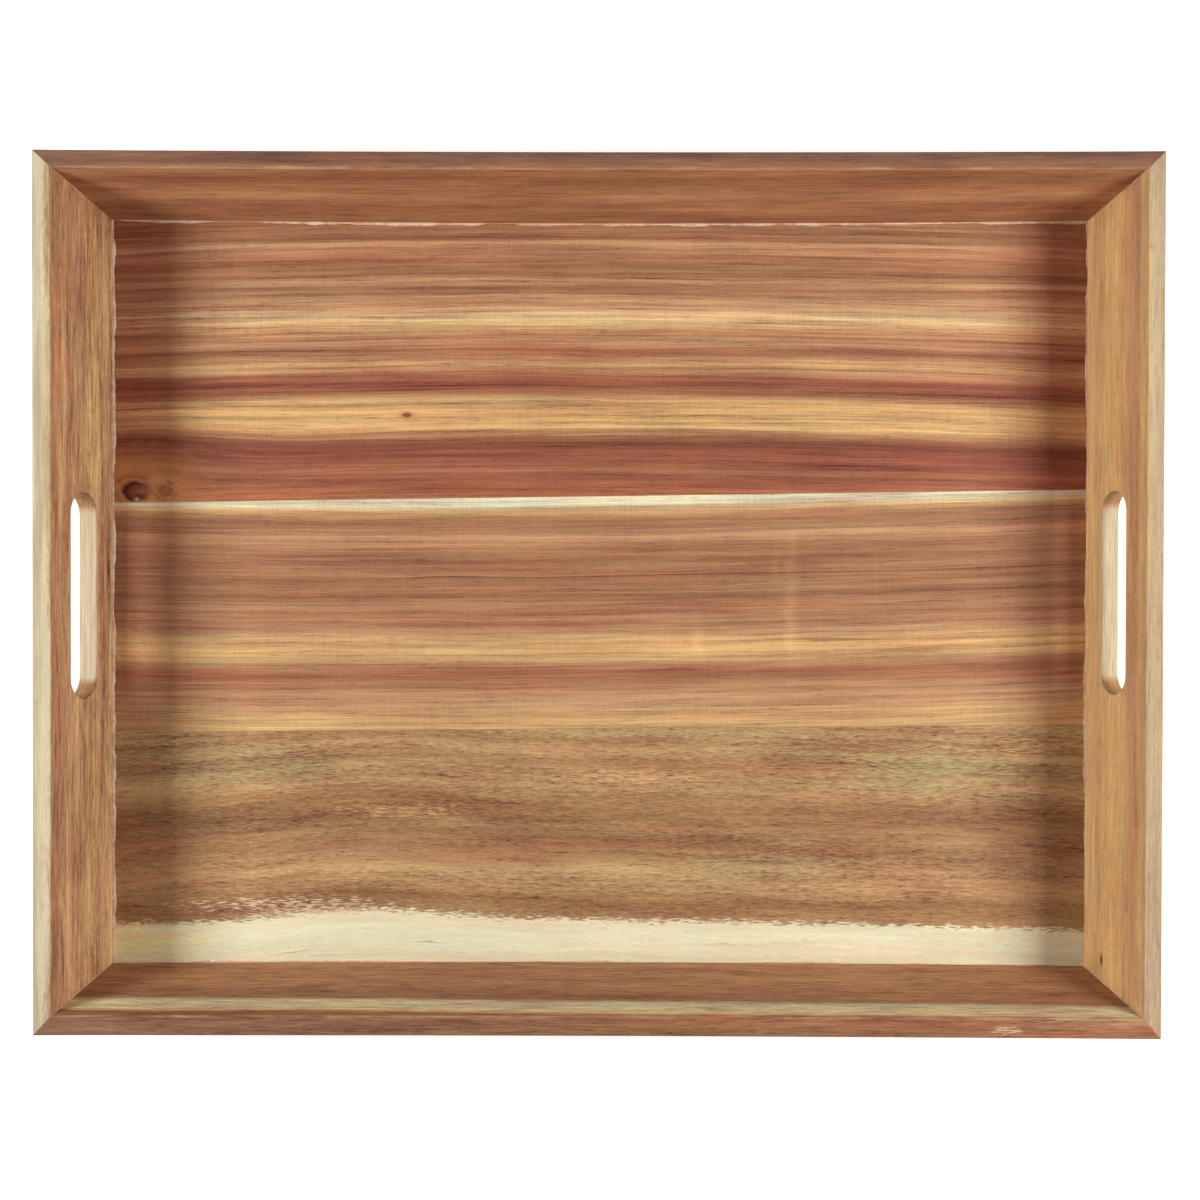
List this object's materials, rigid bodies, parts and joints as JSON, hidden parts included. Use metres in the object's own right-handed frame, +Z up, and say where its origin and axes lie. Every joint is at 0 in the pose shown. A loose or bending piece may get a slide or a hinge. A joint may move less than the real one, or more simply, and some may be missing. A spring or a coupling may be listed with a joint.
{
  "type": "serving tray",
  "caption": "Rectangular wooden serving tray with outward-leaning mitred rails, a floor of edge-glued boards and a rounded hand slot through each end.",
  "frame": {"origin": "on the table, under the middle of the tray", "axes": "+Z up, +X to the right along the tray's length, +Y to the back along its width"},
  "size_m": [0.5098, 0.3998, 0.0599],
  "materials": {
    "acacia_back_board": "oiled acacia heartwood, red-brown with light bands",
    "acacia_middle_board": "oiled acacia heartwood, light brown with a sapwood edge",
    "acacia_front_board": "oiled acacia, rippled olive-brown with a wide sapwood edge",
    "acacia_long_rails": "oiled acacia, mid red-brown",
    "acacia_end_rails": "oiled acacia, golden brown with pale sapwood along the rim",
    "spline_wood": "bare sawn hardwood",
    "brad_steel": "drawn wire",
    "wood_filler": "matt coloured wood filler, sanded flush"
  },
  "bodies": {
    "root": {"floor_board_back": "acacia_back_board", "floor_board_middle": "acacia_middle_board", "floor_board_front": "acacia_front_board", "rail_back": "acacia_long_rails", "rail_front": "acacia_long_rails", "rail_left": "acacia_end_rails", "rail_right": "acacia_end_rails", "mitre_spline_back_left": "spline_wood", "mitre_spline_back_right": "spline_wood", "mitre_spline_front_left": "spline_wood", "mitre_spline_front_right": "spline_wood", "corner_brads": "brad_steel", "brad_fillers": "wood_filler"}
  },
  "joints": []
}
